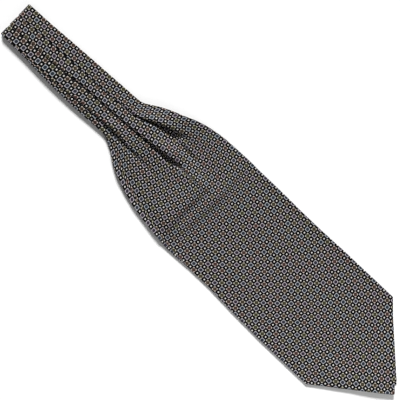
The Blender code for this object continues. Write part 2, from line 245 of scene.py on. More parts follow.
# The silk's own place at each folded edge, across the cloth: on the layer that goes under, and on the fold
printPlaces = {
    "sides": (
        printRow(4, -68.5, 77.1), printRow(60, -68.5, 76.4), printRow(112, -69.1, 76.5),
        printRow(150, -66.9, 76.6), printRow(164, -66.3, 75.9), printRow(177, -69.5, 75.1),
        printRow(190, -72.6, 73.8), printRow(206, -72.1, 72.6), printRow(216, -71.6, 72.3),
        printRow(227, -71.1, 71.8), printRow(236, -70.6, 71.4), printRow(245, -70.2, 71.6),
        printRow(255, -69.9, 71.9), printRow(265, -69.4, 71.9), printRow(275, -69.0, 71.8),
        printRow(286, -68.4, 70.8), printRow(297, -67.9, 69.9), printRow(307, -67.6, 69.2),
    ),
    "pleats": (
        (
            printRow(4, -67.0, -30.7), printRow(92, -62.9, -32.0), printRow(124, -59.6, -33.6),
            printRow(150, -57.1, -33.2), printRow(164, -55.8, -33.6), printRow(177, -54.0, -34.6),
            printRow(190, -50.2, -38.4), printRow(203, -43.4, -39.0), printRow(214, -39.0, -37.6),
            printRow(226, -34.8, -34.8), printRow(254, -26.7, -26.7), printRow(287, -20.0, -20.0),
            printRow(305, -17.5, -17.5),
        ),
        (
            printRow(4, -16.9, 8.5), printRow(59, -18.0, 8.7), printRow(107, -15.9, 11.5),
            printRow(156, -17.0, 11.8), printRow(176, -16.6, 11.9), printRow(190, -15.9, 11.8),
            printRow(204, -15.4, 11.1), printRow(215, -14.2, 11.2), printRow(225, -12.0, 11.2),
            printRow(232, -8.3, 11.4), printRow(240, -5.4, 11.6), printRow(246, -3.3, 11.0),
            printRow(255, -1.6, 11.2), printRow(263, 1.1, 8.2), printRow(269, 1.4, 8.0),
            printRow(275, 2.9, 8.0), printRow(280, 4.3, 6.4), printRow(285, 6.0, 7.1),
            printRow(290, 7.4, 8.0), printRow(302, 9.6, 10.2),
        ),
        (
            printRow(4, 24.0, 59.3), printRow(66, 25.6, 59.0), printRow(134, 24.6, 58.3),
            printRow(162, 27.0, 58.0), printRow(172, 27.4, 56.8), printRow(182, 29.2, 54.0),
            printRow(190, 30.8, 52.9), printRow(200, 34.7, 52.8), printRow(210, 37.8, 51.1),
            printRow(222, 40.7, 48.6), printRow(228, 42.1, 48.2), printRow(235, 45.3, 47.4),
            printRow(242, 45.7, 46.1), printRow(255, 44.2, 44.8), printRow(270, 43.1, 43.6),
            printRow(287, 43.7, 43.9),
        ),
    ),
    "free": (285.0, 312.0),     # from here down the print lies straight, but for a drift to one side
    "drift": (                  # how far the print lies to the left of its place
        driftRow(310, 1.2), driftRow(330, 1.5), driftRow(350, 1.25), driftRow(370, 0.95),
        driftRow(392, 0.2), driftRow(450, 0.3), driftRow(490, 0.35), driftRow(510, 0.7),
        driftRow(530, 1.6), driftRow(550, 2.8), driftRow(570, 4.8), driftRow(590, 7.4),
        driftRow(611, 9.5),
    ),
}

# How far the rows of the print run ahead of their place, by where they are across the cloth
rowBow = {
    "across": (-68, -53, -38, -23, -8, 7, 22, 37, 52, 67),
    "ahead": (6.7, 5.3, 3.3, 1.6, 0.1, 0.2, 1.1, 2.35, 3.35, 3.7),
    "fade": (540.0, 600.0),     # the rows straighten towards the point
}
rowPull = {
    "across": (-60.5, -32, 0, 28, 50, 66),
    "rows": (
        pullRow(4, -1.5, -2.4, 0.0, 0.8, -4.2, -3.8),
        pullRow(50, -2.8, -4.3, -2.3, -1.0, -6.8, -6.1),
        pullRow(100, -2.8, -5.8, -4.2, -3.1, -8.9, -8.0),
        pullRow(140, -2.8, -6.2, -5.1, -4.1, -9.6, -8.6),
        pullRow(172, -4.6, -6.1, -5.9, -4.7, -9.3, -8.7),
        pullRow(187, -4.8, -6.3, -5.8, -4.5, -8.0, -5.7),
        pullRow(204, -2.5, -6.5, -6.1, -4.3, -6.8, -3.7),
        pullRow(225, -1.0, -5.8, -6.3, -4.3, -5.2, -1.9),
        pullRow(250, 0.0, -4.3, -5.7, -4.3, -3.6, -0.8),
        pullRow(262, 0.3, -3.5, -5.5, -4.5, -3.1, -0.7),
        pullRow(275, 0.5, -3.1, -5.4, -4.7, -2.7, -0.7),
        pullRow(290, 0.5, -2.6, -4.9, -4.9, -2.3, -0.8),
        pullRow(300, 0.9, -1.2, -3.5, -5.0, -2.6, -0.5),
        pullRow(307, 1.1, -0.3, -3.2, -5.0, -2.3, -0.2),
        pullRow(315, 1.3, 0.9, -0.6, -1.8, -0.5, 0.3),
        pullRow(327, 1.1, 1.3, 0.7, 0.1, 0.4, 0.5),
        pullRow(345, 1.0, 1.1, 0.3, 0.1, 0.3, 0.4),
        pullRow(370, 0.4, 0.4, 0.1, 0.0, 0.0, 0.0),
        pullRow(400, 0.0, 0.0, 0.0, 0.0, 0.0, 0.0),
    ),
}

# A small slanting tuck beside the left edge: where it lies, the width of silk that it hides, how far ahead
# the rows of the print lie beyond it, and how softly they change over
edgeTuck = (
    tuckRow(172, -22.0, 0.0, 0.0, 4.0),
    tuckRow(187, -27.5, 0.0, 0.0, 4.0),
    tuckRow(204, -37.5, 0.0, -2.1, 3.0),
    tuckRow(225, -46.5, 0.6, -3.5, 1.5),
    tuckRow(236, -49.5, 0.9, -3.9, 0.8),
    tuckRow(245, -51.8, 1.1, -4.2, 0.4),
    tuckRow(255, -54.0, 1.4, -4.4, 0.3),
    tuckRow(266, -56.3, 1.7, -4.6, 0.25),
    tuckRow(276, -59.0, 1.9, -4.8, 0.25),
    tuckRow(287, -62.0, 2.4, -4.8, 0.25),
    tuckRow(298, -64.5, 2.9, -5.1, 0.25),
    tuckRow(308, -65.5, 3.2, -5.4, 0.25),
    tuckRow(320, -66.2, 3.2, -5.5, 0.25),
    tuckRow(332, -66.9, 3.2, -5.4, 0.25),
    tuckRow(343, -68.0, 3.2, -5.3, 0.25),
    tuckRow(360, -72.0, 3.2, -5.3, 0.25),
)
tuckPoints = {                  # every section has a point on each side of the tuck
    "halfWidth": 0.25,
    "mostShare": 0.01,          # of the strip of cloth that it lies in
    "shares": (0.03, 0.19),     # where it may lie: before the strip's own first point
}
reliefSpan = (200, 240)         # the creases fade in over this stretch
wrinkleTaper = (-0.15, 0.35, 0.65, 1.15)        # shares of its length: a wrinkle swells, then dies away

# The pressed crease across the blade and the softer wrinkles round it
creases = (
    {                           # across the whole blade: the cloth falls away below it
        "down": 312.4,          # the steep face's middle, where it lies furthest down
        "across": 12.0,
        "bow": 0.0018,
        "places": (-66, -40, 8, 36, 66),
        "heights": (            # by how far a point is past the steep face
            creaseRow(-40, 0.0, 0.0, 0.0, 0.0, 0.0),
            creaseRow(-16, 0.25, 0.4, 0.85, 0.75, 0.5),
            creaseRow(-10, 0.5, 1.3, 2.0, 1.4, 0.6),
            creaseRow(-5.5, 0.65, 1.85, 3.0, 2.05, 0.75),
            creaseRow(-2.5, 0.5, 1.5, 2.65, 1.8, 0.65),
            creaseRow(1, 0.3, 0.8, 1.3, 0.9, 0.4),
            creaseRow(5, 0.05, 0.1, 0.15, 0.1, 0.1),
            creaseRow(9, 0.0, 0.0, 0.0, 0.0, 0.0),
            creaseRow(30, 0.0, 0.0, 0.0, 0.0, 0.0),
        ),
    },
    {                           # above it on the left
        "down": 294.0,
        "across": -20.0,
        "bow": -0.001,
        "places": (-64, -42, -16, 10, 24),
        "heights": (
            creaseRow(-70, 0.0, 0.0, 0.0, 0.0, 0.0),
            creaseRow(-32, 0.6, 2.4, 2.3, 0.85, 0.0),
            creaseRow(-6, 1.1, 4.8, 4.8, 1.7, 0.0),
            creaseRow(-3, 1.0, 4.2, 4.2, 1.5, 0.0),
            creaseRow(0, 0.55, 2.35, 2.35, 0.85, 0.0),
            creaseRow(3.5, 0.1, 0.3, 0.3, 0.1, 0.0),
            creaseRow(7, 0.0, 0.0, 0.0, 0.0, 0.0),
            creaseRow(20, 0.0, 0.0, 0.0, 0.0, 0.0),
        ),
    },
)
wrinkles = (
    wrinkleRow(252, 9, 298, 11, 1.0, 4.5),
    wrinkleRow(262, 4, 292, -2, 0.5, 3.0),
    wrinkleRow(214, 29, 266, 26.2, -3.0, 3.0),
    wrinkleRow(172, -29, 222, -54.5, 1.2, 5.0),
    wrinkleRow(198, -44.5, 252, -64.0, 1.6, 5.0),
    wrinkleRow(230, -58.5, 306, -70.5, 1.6, 5.0),
    wrinkleRow(256, 36, 296, 42, 0.4, 5.0),
    wrinkleRow(206, -30, 262, -44, 0.5, 6.0),
    wrinkleRow(225, -8, 285, -26, 0.5, 8.0),
    wrinkleRow(170, 33, 170, -6, -0.6, 1.8),
    wrinkleRow(330, 22, 420, 30, 0.3, 14.0),
    wrinkleRow(345, -34, 450, -40, 0.35, 16.0),
    wrinkleRow(440, 8, 520, -8, 0.35, 18.0),
    wrinkleRow(600, 44, 600, -62, 2.8, 34.0),
    wrinkleRow(520, -44, 566, -40, 0.9, 12.0),
)

stationSteps = {                # spacing of the rows of points down the cloth
    "turn": 8,                  # rows in the turn at the neck
    "turnGap": 0.03,            # radians: each half ends this far short of the middle of the turn
    "band": 3.0,
    "lead": 2.0,                # a new spacing starts, or an old one ends, this far before its place
    "fan": 1.3,
    "fanTo": 322,
    "bladeFrom": 324,
    "blade": 4.4,
    "point": 2.6,
    "lastRows": (1.2, 0.6, 0.15, 0.0),      # before the very tip
}
stripShares = (0.2, 0.4, 0.6, 0.8)      # control points of the strip between two pleats
segmentSteps = 3                # points between two control points of a section
capSteps = 3                    # points round each turned edge

# The print: a chequer of black squares with a white dot, and blue and brown squares between them
printRepeat = {
    "repeat": 10.64,            # two squares
    "start": 423.1,             # a white dot lies this far down, near the middle
    "dotRadius": 0.148,         # this and the next four are in squares
    "dotSoftness": 0.015,
    "roundHeart": (0.335, 0.385),
    "diamondHeart": (0.40, 0.51),
    "squareEdge": (0.415, 0.465),
    "dotPower": 3.0,            # 2 draws a circle, more than that a rounded square and 1 a diamond
    "roundPower": 2.4,
    "diamondPower": 1.35,
    "groundColour": (0.0025, 0.0022, 0.0022),
    "dotColour": (0.66, 0.64, 0.618),
    "blueRings": ((0.410, 0.438, 0.470), (0.466, 0.414, 0.456)),
    "blueHearts": ((0.018, 0.026, 0.036), (0.027, 0.020, 0.031)),
    "brownRings": ((0.525, 0.507, 0.418), (0.566, 0.470, 0.442)),
    "brownHearts": ((0.040, 0.040, 0.020), (0.052, 0.027, 0.024)),
    "chanceShare": 0.45,        # each square's own part in its hue
    "driftShare": 0.6,          # and the part that it has in common with those round it
    "driftScale": 0.23,
    "driftDetail": 1.0,
    "hueSpan": (0.2, 0.85),
}
silkWeave = {
    "thread": 0.00045,          # metres
    "twillSlope": 0.5,
    "twillHeight": 0.35,
    "weftHeight": 0.15,
    "meanHeight": 0.5,
}
silkFinish = {
    "bump": 0.35,
    "bumpHeight": 0.00006,      # metres
    "colourDrift": 1.0,         # 0 gives every square the first of its two colours
    "shader": {"Roughness": 0.45, "Specular IOR Level": 0.05, "Sheen Weight": 0.02, "Sheen Roughness": 0.4},
}

studio = {
    "floorColour": (0.93, 0.93, 0.93),
    "floorReach": 3.0,          # metres
    "floorDrop": 0.0002,        # below the cloth
    "floorShader": {"Roughness": 0.9, "Specular IOR Level": 0.1},
    "lensLength": 120.0,        # millimetres
    "sensorWidth": 36.0,
    "frameWidth": 458.2,        # of the surface, in view
    "focusHeight": 0.003,       # metres: the frame's width is measured this far above the floor
    "lookAt": (-1.8, 8.85),
    "pictureRight": (0.690, -0.724),
    "worldStrength": 0.15,
    "keyFrom": (0.72, 0.69),    # seen from above, where the light comes from
    "keyHeight": 36.0,          # degrees above the floor
    "keySoftness": 17.0,        # degrees across
    "keyStrength": 4.8,
    "fillFrom": (-0.15, -0.60, 0.45),       # metres: a panel beyond the point
    "fillTo": (0.0, -0.15, 0.0),
    "fillSize": 0.5,
    "fillPower": 1.35,
}


def linkObject(name, data):
    item = bpy.data.objects.new(name, data)
    bpy.context.scene.collection.objects.link(item)
    return item


def smoothStep(value, low, high):
    share = np.clip((value - low) / (high - low), 0.0, 1.0)
    return share * share * (3 - 2 * share)


def blend(low, high, share):
    return low + (high - low) * share


def curveThrough(places, values, wanted):
    places = np.array(places, float)        # a smooth curve through the rows that never overshoots
    values = np.array(values, float)
    wanted = np.asarray(wanted, float)
    steps = np.diff(values) / np.diff(places)
    before, after = steps[:-1], steps[1:]
    same = before * after > 0
    inner = np.where(same, 2 * before * after / np.where(same, before + after, 1.0), 0.0)
    slopes = np.concatenate([[steps[0]], inner, [steps[-1]]])
    held = np.clip(wanted, places[0], places[-1])
    here = np.clip(np.searchsorted(places, held, side="right") - 1, 0, len(places) - 2)
    run = places[here + 1] - places[here]
    share = (held - places[here]) / run
    rest = 1 - share
    return (values[here] * (1 + 2 * share) * rest ** 2 + values[here + 1] * (3 - 2 * share) * share ** 2
            + run * share * rest * (slopes[here] * rest - slopes[here + 1] * share))


def tableAt(rows, downs):
    places = [row.down for row in rows]
    columns = {name: curveThrough(places, [getattr(row, name) for row in rows], downs)
               for name in rows[0]._fields if name != "down"}
    return type(rows[0])(down=np.asarray(downs, float), **columns)


def lowerStack(downs):
    shape = cravatShape         # height of the lower half's upper face
    return blend(shape["bandStack"], shape["bladeStack"],
                 smoothStep(downs, shape["bandEnd"], shape["fanEnd"]))


def clothThickness(downs):
    shape = cravatShape
    return blend(shape["bandCloth"], shape["bladeCloth"],
                 smoothStep(downs, shape["loosensFrom"], shape["fanEnd"]))


def stationsDown(half):
    steps = stationSteps
    turnEnd = turnStart()
    bandEnd = cravatShape["bandEnd"]
    corner = cravatShape["outline"][-1].down
    point = half["point"][0]
    lastRows = steps["lastRows"]
    return np.concatenate([
        turnEnd - cravatShape["bandStack"] * np.linspace(
            pi / 2 - steps["turnGap"], 0, steps["turn"], endpoint=False),
        np.arange(turnEnd, bandEnd - steps["band"], steps["band"]),
        np.arange(bandEnd - steps["lead"], steps["fanTo"], steps["fan"]),
        np.arange(steps["bladeFrom"], corner - steps["lead"], steps["blade"]),
        np.linspace(corner, point - lastRows[0], int((point - corner) / steps["point"])),
        np.array([point - before for before in lastRows[1:]]),
    ])


def turnStart():
    return cravatShape["bandStack"] + cravatShape["gap"] / 2


def outlineAt(half, downs):
    rows = cravatShape["outline"]
    corner = rows[-1]
    body = tableAt(rows, downs)
    left = body.left + half["sideInset"]
    right = body.right - half["sideInset"]
    step = np.clip((downs - corner.down) / (half["point"][0] - corner.down), 0, 1)
    tip = half["point"][1]
    halfPoint = cravatShape["pointWidth"] / 2
    inPoint = downs > corner.down
    left = np.where(inPoint, blend(corner.left + half["sideInset"], tip - halfPoint, step), left)
    right = np.where(inPoint, blend(corner.right + half["sideInset"], tip + halfPoint, step), right)
    slant = half["cornerSlant"] * np.where(inPoint, 1 - step, smoothStep(
        downs, cravatShape["slantFrom"], corner.down))
    return left, right, slant


def pleatControls(pleat, thick):
    fold = foldShape
    middle = thick / 2          # all heights are of the middle of the cloth
    top = pleat.crest - middle
    shoulder = pleat.shoulder - middle
    rest = middle + fold["clearance"]
    low = np.maximum(pleat.floor - middle, rest + fold["bedClearance"])
    bend = middle + fold["bendLeast"]
    nose = np.maximum(bend, (top - low) * fold["noseShare"])
    inner = np.maximum(bend, (top - 2 * nose - rest) * fold["innerShare"])
    turn = pleat.edge + pleat.tuck
    folded = (
        (pleat.edge - pleat.gape - fold["before"], shoulder),       # down into the hollow beside the fold
        (pleat.edge - pleat.gape * 0.86, blend(low, shoulder, 0.72)),
        (pleat.edge - pleat.gape * 0.5, blend(low, shoulder, 0.16)),
        (pleat.edge + pleat.tuck * 0.1, blend(low, rest, 0.3)),
        (turn - inner * 0.7, rest),                         # under the fold, and back
        (turn + inner * 0.3, rest + inner),
        (turn - inner * 0.7, rest + 2 * inner),
        (pleat.edge + middle + nose * 1.3, top - 2 * nose),
        (pleat.edge + middle, top - nose),                  # round the fold
        (pleat.edge + middle + nose * 1.1, top),
        (pleat.edge + middle + nose + fold["after"], top),
    )
    start = -pleat.gape - fold["before"]
    end = fold["openAfter"] + fold["openShare"] * pleat.gape
    bed = np.minimum(low, top)
    points = []
    for index, (across, height) in enumerate(folded):       # an open pleat is only a soft hollow
        share = index / (len(folded) - 1)
        if share < fold["bedPlace"]:
            eased = blend(shoulder, bed, smoothStep(share, 0.0, fold["bedPlace"]))
        else:
            eased = blend(bed, top, smoothStep(share, fold["bedPlace"], 1.0))
        points.append((blend(across, pleat.edge + blend(start, end, share), pleat.ease),
                       blend(height, eased, pleat.ease)))
    return points


def sectionControls(half, downs, isBack):
    shape = cravatShape
    left, right = outlineAt(half, downs)[:2]
    thick = clothThickness(downs)
    middle = thick / 2
    pleatDowns = downs + half["pleatLead"] * smoothStep(downs, *half["leadSpan"])
    if isBack:
        leftTop = rightTop = lowerStack(downs)
    else:
        sides = tableAt(half["sideHeights"], downs)
        leftTop = np.maximum(sides.left, thick + foldShape["clearance"])
        rightTop = np.maximum(sides.right, thick + foldShape["clearance"])
    width = right - left
    narrowing = np.clip(width / shape["fullWidth"], shape["narrowest"], 1.0)
    leftBound, rightBound = shape["pleatBounds"]
    inPoint = downs > shape["outline"][-1].down
    hold = half["stripHold"]
    controls = []
    anchors = {}

    def add(across, height):
        controls.append(np.stack([across, height], axis=-1))
        return len(controls) - 1

    def addBetween(start, end, share, hold):
        add(blend(start[0], end[0], share), blend(start[1], end[1], smoothStep(share, hold, 1.0)))

    def addStrip(start, end, hold):
        for share in stripShares:
            addBetween(start, end, share, hold)

    def addTuck(start, end, hold):
        run = end[0] - start[0]
        share = np.clip((tableAt(edgeTuck, downs).across - start[0]) / run, *tuckPoints["shares"])
        aside = np.clip(tuckPoints["halfWidth"] / run, 0.0, tuckPoints["mostShare"])
        for side in (-1, 1):
            addBetween(start, end, share + side * aside, hold)

    room = np.clip(width * shape["roomShare"], *shape["roomRange"])
    start = (left + middle + 0.9 * room, leftTop - middle)
    anchors["left"] = add(left + middle, leftTop - middle)
    add(*start)
    for index, rows in enumerate(half["pleats"]):
        pleat = tableAt(rows, pleatDowns)
        if isBack:
            crest = lowerStack(downs)
            step = half["foldStep"] * (1 - pleat.ease)
            pleat = pleat._replace(crest=crest, shoulder=crest - step * half["shoulderShare"],
                                   floor=crest - step, gape=half["gape"])
        pleat = pleat._replace(edge=np.where(
            inPoint, blend(left, right, (pleat.edge - leftBound) / (rightBound - leftBound)), pleat.edge))
        points = pleatControls(pleat, thick)
        if index == 0:          # in the neckband the first pleat starts right beside the edge
            points = [(np.maximum(across, left + middle + room * (0.95 + 0.05 * order)), height)
                      for order, (across, height) in enumerate(points)]
        points = [(np.where(inPoint, pleat.edge + (across - pleat.edge) * narrowing, across), height)
                  for across, height in points]
        if index == 0:
            addTuck(start, points[0], hold)
        addStrip(start, points[0], hold)
        first = len(controls)
        for across, height in points:
            add(across, height)
        anchors["under" + str(index)] = first + foldShape["underPoint"]
        anchors["over" + str(index)] = first + foldShape["foldPoint"]
        anchors["edge" + str(index)] = pleat.edge
        start = points[-1]
    end = (right - middle - 0.9 * room, rightTop - middle)
    addStrip(start, end, blend(*shape["rightHold"], smoothStep(downs, *shape["rightHoldSpan"])))
    add(*end)
    anchors["right"] = add(right - middle, rightTop - middle)
    return np.array(controls), anchors, thick, pleatDowns


def splineThrough(controls):
    gaps = np.linalg.norm(np.diff(controls, axis=0), axis=-1)       # a centripetal curve, station by station
    knots = np.sqrt(np.maximum(gaps, 1e-5))[..., None]
    steps = np.diff(controls, axis=0) / knots
    inner = (steps[:-1] * knots[1:] + steps[1:] * knots[:-1]) / (knots[:-1] + knots[1:])
    tangents = np.concatenate([steps[:1], inner, steps[-1:]])
    samples = []
    for index in range(len(controls) - 1):
        run = knots[index]
        for step in range(segmentSteps):
            share = step / segmentSteps
            rest = 1 - share
            samples.append(controls[index] * (1 + 2 * share) * rest ** 2
                           + controls[index + 1] * (3 - 2 * share) * share ** 2
                           + run * share * rest * (tangents[index] * rest - tangents[index + 1] * share))
    samples.append(controls[-1])
    return np.array(samples)


def acrossTable(rows, places, down, across):
    columns = np.stack(tableAt(rows, down)[1:])     # a table with a column for each of several places across
    places = np.array(places, float)
    held = np.clip(across, places[0], places[-1])
    here = np.clip(np.searchsorted(places, held, side="right") - 1, 0, len(places) - 2)
    share = (held - places[here]) / (places[here + 1] - places[here])
    low = np.take_along_axis(columns, here[None], axis=0)[0]
    high = np.take_along_axis(columns, (here + 1)[None], axis=0)[0]
    return blend(low, high, smoothStep(share, 0, 1))


def creaseRelief(down, across):
    total = 0.0
    for crease in creases:
        line = crease["down"] - crease["bow"] * (across - crease["across"]) ** 2
        total = total + acrossTable(crease["heights"], crease["places"], down - line, across)
    return total


def wrinkleRelief(down, across):
    total = np.zeros_like(down)
    for row in wrinkles:
        alongDown, alongAcross = row.toDown - row.fromDown, row.toAcross - row.fromAcross
        length = np.hypot(alongDown, alongAcross)
        along = ((down - row.fromDown) * alongDown + (across - row.fromAcross) * alongAcross) / length
        aside = ((across - row.fromAcross) * alongDown - (down - row.fromDown) * alongAcross) / length
        share = along / length
        taper = smoothStep(share, *wrinkleTaper[:2]) * (1 - smoothStep(share, *wrinkleTaper[2:]))
        total += row.height * taper * np.exp(-(aside / row.width) ** 2)
    return total


def printAcross(anchors, samples, downs, pleatDowns):
    shape = printPlaces         # the cloth's own place across at every point of every section
    drift = tableAt(shape["drift"], downs).left
    free = smoothStep(pleatDowns, *shape["free"])
    steps = np.linalg.norm(np.diff(samples, axis=0), axis=-1)
    arc = np.concatenate([np.zeros((1,) + steps.shape[1:]), np.cumsum(steps, axis=0)])
    sides = tableAt(shape["sides"], pleatDowns)
    marks = [(anchors["left"], sides.under)]
    for index, rows in enumerate(shape["pleats"]):
        row = tableAt(rows, pleatDowns)
        for name, value in (("under", row.under), ("over", row.over)):
            place = anchors[name + str(index)]
            marks.append((place, value + samples[place * segmentSteps, :, 0] - anchors["edge" + str(index)]))
    marks.append((anchors["right"], sides.over))
    marks = [(place * segmentSteps, blend(value, samples[place * segmentSteps, :, 0] + drift, free))
             for place, value in marks]
    result = np.zeros_like(arc)
    for (startPlace, startValue), (endPlace, endValue) in zip(marks, marks[1:]):
        span = slice(startPlace, endPlace + 1)
        share = (arc[span] - arc[startPlace]) / np.maximum(arc[endPlace] - arc[startPlace], 1e-6)
        result[span] = startValue + (endValue - startValue) * share
    return result


def beyondTuck(across, tuck):
    return 1 - smoothStep(across, tuck.across - tuck.softness, tuck.across + tuck.softness)


def printAlong(down, across):
    bow = np.interp(across, rowBow["across"], rowBow["ahead"]) * (1 - smoothStep(down, *rowBow["fade"]))
    return down + bow + acrossTable(rowPull["rows"], rowPull["across"], down, across)


def ringOrder(count):
    angles = pi * np.arange(1, capSteps + 1) / (capSteps + 1)       # over the top, round the right edge,
    ahead = np.arange(count)                                        # back below and round the left edge
    places = np.concatenate([ahead, np.full(capSteps, count - 1), ahead[::-1], np.zeros(capSteps, int)])
    outward = np.concatenate([np.ones(count), np.cos(angles), -np.ones(count), -np.cos(angles)])
    aside = np.concatenate([np.zeros(count), np.sin(angles), np.zeros(count), -np.sin(angles)])
    return places, outward[:, None], aside[:, None]


def buildHalf(half, isBack):
    shape = cravatShape
    downs = stationsDown(half)
    heldDowns = np.maximum(downs, shape["firstRow"])
    controls, anchors, thick, pleatDowns = sectionControls(half, heldDowns, isBack)
    samples = splineThrough(controls)
    across = samples[..., 0]
    tangent = np.gradient(samples, axis=0)
    tangent /= np.maximum(np.linalg.norm(tangent, axis=-1, keepdims=True), 1e-6)
    normal = np.stack([-tangent[..., 1], tangent[..., 0]], axis=-1)
    tuck = tableAt(edgeTuck, downs)
    beyond = beyondTuck(across, tuck)
    cloth = printAcross(anchors, samples, heldDowns, pleatDowns) - tuck.hidden * beyond

    left, right, slant = outlineAt(half, heldDowns)
    inset = np.minimum(across - left, right - across)
    pointEnd = np.sqrt(np.clip((half["point"][0] - downs) / shape["pointTaper"],
                               shape["pointClosed"] ** 2, 1.0))
    bead = 1 + shape["edgeBead"] * np.exp(-(inset / shape["edgeBeadWidth"]) ** 2)
    halfThick = thick / 2 * bead * pointEnd
    places, outward, aside = ringOrder(len(samples))
    reach = halfThick[places]
    rings = samples[places] + normal[places] * (reach * outward)[..., None]
    rings += tangent[places] * (reach * aside)[..., None]
    if isBack:                  # the underside stays flat where it rests
        below = len(samples) + capSteps
        flatBelow = samples[..., 1] - normal[..., 1] * thick / 2
        rings[below:below + len(samples), :, 1] = flatBelow[::-1]
    clothRings = cloth[places] + reach * aside
    ringAcross, ringHeight = rings[..., 0], rings[..., 1]

    along = downs + slant * ringAcross
    face = lowerStack(heldDowns)
    axis = turnStart()
    radius = shape["gap"] / 2 + ringHeight
    angle = np.clip((axis - downs) / shape["bandStack"], 0, None)
    turning = downs < axis
    if isBack:
        flatHeight = face - ringHeight
        turnHeight = axis - radius * np.cos(angle)
    else:
        relief = creaseRelief(along, ringAcross) * smoothStep(downs, *reliefSpan)
        relief += wrinkleRelief(along, ringAcross)
        flatHeight = face + shape["gap"] + ringHeight + relief
        turnHeight = axis + radius * np.cos(angle)
    z = np.maximum(np.where(turning, turnHeight, flatHeight), 0.0)
    y = topOfCravat - np.where(turning, axis - radius * np.sin(angle), along)
    points = np.stack([ringAcross - middleAcross, y, z], axis=-1) * mm
    rowPlace = printAlong(np.where(turning, downs, along), clothRings) + tuck.ahead * beyond[places]
    uvs = np.stack([clothRings, rowPlace - printRepeat["start"]], axis=-1) * mm
    return makeMesh(half["name"], points, uvs, isBack, len(samples))


def makeMesh(name, points, uvs, isBack, topCount):
    count, stations = points.shape[:2]
    flatPoints = points.transpose(1, 0, 2).reshape(-1, 3)
    flatUvs = uvs.transpose(1, 0, 2).reshape(-1, 2)
    faces = []
    for row in range(stations - 1):
        for column in range(count):
            after = (column + 1) % count
            faces.append((row * count + column, (row + 1) * count + column,
                          (row + 1) * count + after, row * count + after))
    partner = [count - 1 - capSteps - index for index in range(topCount)]
    ends = [(index, index + 1, partner[index + 1], partner[index]) for index in range(topCount - 1)]
    ends.append(tuple(topCount - 1 + step for step in range(capSteps + 2)))
    ends.append(tuple((count - 1 - capSteps + step) % count for step in range(capSteps + 2)))
    faces += ends
    last = (stations - 1) * count
    faces += [tuple(last + index for index in reversed(face)) for face in ends]
    if isBack:
        faces = [tuple(reversed(face)) for face in faces]
    mesh = bpy.data.meshes.new(name)
    mesh.from_pydata(flatPoints.tolist(), [], faces)
    layer = mesh.uv_layers.new(name="clothPlace")
    loops = np.zeros(len(mesh.loops), np.int32)
    mesh.loops.foreach_get("vertex_index", loops)
    layer.data.foreach_set("uv", flatUvs[loops].astype(np.float32).ravel())
    mesh.polygons.foreach_set("use_smooth", np.ones(len(mesh.polygons), bool))
    mesh.update()
    return linkObject(name, mesh)


def nodeMath(tree, operation, first, second=None):
    node = tree.nodes.new("ShaderNodeMath")
    node.operation = operation
    for socket, value in zip(node.inputs, (first, second)):
        if value is None:
            continue
        if isinstance(value, (int, float)):
            socket.default_value = value
        else:
            tree.links.new(value, socket)
    return node.outputs[0]


def nodeRamp(tree, value, low, high):
    node = tree.nodes.new("ShaderNodeMapRange")     # 0 below low, 1 above high, smooth between
    node.interpolation_type = "SMOOTHSTEP"
    tree.links.new(value, node.inputs["Value"])
    node.inputs["From Min"].default_value = low
    node.inputs["From Max"].default_value = high
    return node.outputs["Result"]


def nodeMix(tree, factor, first, second):
    node = tree.nodes.new("ShaderNodeMix")
    node.data_type = "RGBA"
    for name, value in (("Factor_Float", factor), ("A_Color", first), ("B_Color", second)):
        socket = next(item for item in node.inputs if item.identifier == name)
        if isinstance(value, bpy.types.NodeSocket):
            tree.links.new(value, socket)
        else:
            socket.default_value = (*value, 1.0)
    return next(item for item in node.outputs if item.identifier == "Result_Color")


def newGroup(name, inputs, outputs):
    tree = bpy.data.node_groups.new(name, "ShaderNodeTree")
    for label, kind, value in inputs:
        socket = tree.interface.new_socket(label, in_out="INPUT", socket_type=kind)
        if value is not None:
            socket.default_value = value
    for label, kind in outputs:
        tree.interface.new_socket(label, in_out="OUTPUT", socket_type=kind)
    return tree, tree.nodes.new("NodeGroupInput").outputs, tree.nodes.new("NodeGroupOutput").inputs


def placeInSteps(tree, place, width):
    scale = tree.nodes.new("ShaderNodeVectorMath")      # across and down the cloth, in steps of this width
    scale.operation = "SCALE"
    tree.links.new(place, scale.inputs[0])
    tree.links.new(nodeMath(tree, "DIVIDE", 1.0, width), scale.inputs["Scale"])
    split = tree.nodes.new("ShaderNodeSeparateXYZ")
    tree.links.new(scale.outputs[0], split.inputs[0])
    return split.outputs[0], split.outputs[1]


def superDistance(tree, first, second, power):
    total = nodeMath(tree, "ADD", nodeMath(tree, "POWER", first, power),
                     nodeMath(tree, "POWER", second, power))
    return nodeMath(tree, "POWER", total, 1.0 / power)


